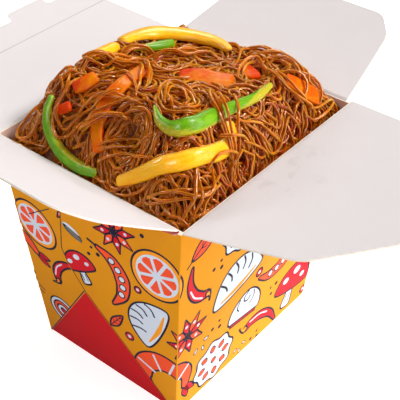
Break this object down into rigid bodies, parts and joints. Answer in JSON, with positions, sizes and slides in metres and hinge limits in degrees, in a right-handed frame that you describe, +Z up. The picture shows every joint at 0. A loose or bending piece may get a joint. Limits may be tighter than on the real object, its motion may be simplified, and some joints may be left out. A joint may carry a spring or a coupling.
{
  "type": "noodle takeaway box",
  "caption": "Open folded-board takeaway carton with its flaps laid back on creases, heaped with fried glass noodles, pepper strips and carrot strips.",
  "frame": {"origin": "centre of the carton's base, on the surface it stands on", "axes": "+Z up; -Y out of the wide front panel; +Y out of the back panel, which carries the lid; -X and +X out of the folded ends"},
  "size_m": [0.1845, 0.2133, 0.1264],
  "materials": {
    "printed_board": "printed, satin",
    "white_board": "matt",
    "noodles": "oily",
    "green_pepper": "glossy",
    "yellow_pepper": "glossy",
    "carrot": "moist"
  },
  "bodies": {
    "box": {"carton": "printed_board", "noodles": "noodles", "green_pepper_1": "green_pepper", "green_pepper_2": "green_pepper", "green_pepper_3": "green_pepper", "yellow_pepper_1": "yellow_pepper", "yellow_pepper_2": "yellow_pepper", "yellow_pepper_3": "yellow_pepper", "carrot_1": "carrot", "carrot_2": "carrot", "carrot_3": "carrot", "carrot_4": "carrot", "carrot_5": "carrot", "carrot_6": "carrot"},
    "left_flap": {"left_flap": "white_board"},
    "right_flap": {"right_flap": "white_board"},
    "front_flap": {"front_flap": "white_board"},
    "lid": {"lid": "white_board"},
    "lid_tuck": {"lid_tuck": "white_board"}
  },
  "joints": [
    {"name": "left_crease", "type": "hinge", "parent": "box", "child": "left_flap", "pos_m": [-0.0497, 0, 0.1004], "axis": [0, 1, 0], "range_deg": [-63, 62]},
    {"name": "right_crease", "type": "hinge", "parent": "box", "child": "right_flap", "pos_m": [0.0497, 0, 0.1004], "axis": [0, -1, 0], "range_deg": [-45, 80]},
    {"name": "front_crease", "type": "hinge", "parent": "box", "child": "front_flap", "pos_m": [0, -0.0439, 0.1004], "axis": [-1, 0, 0], "range_deg": [-92, 87.5]},
    {"name": "lid_crease", "type": "hinge", "parent": "box", "child": "lid", "pos_m": [0, 0.0439, 0.1004], "axis": [1, 0, 0], "range_deg": [-86, 94]},
    {"name": "tuck_crease", "type": "hinge", "parent": "lid", "child": "lid_tuck", "pos_m": [0, 0.08389, 0.1015], "axis": [-1, 0, 0], "range_deg": [-95, 0]}
  ]
}
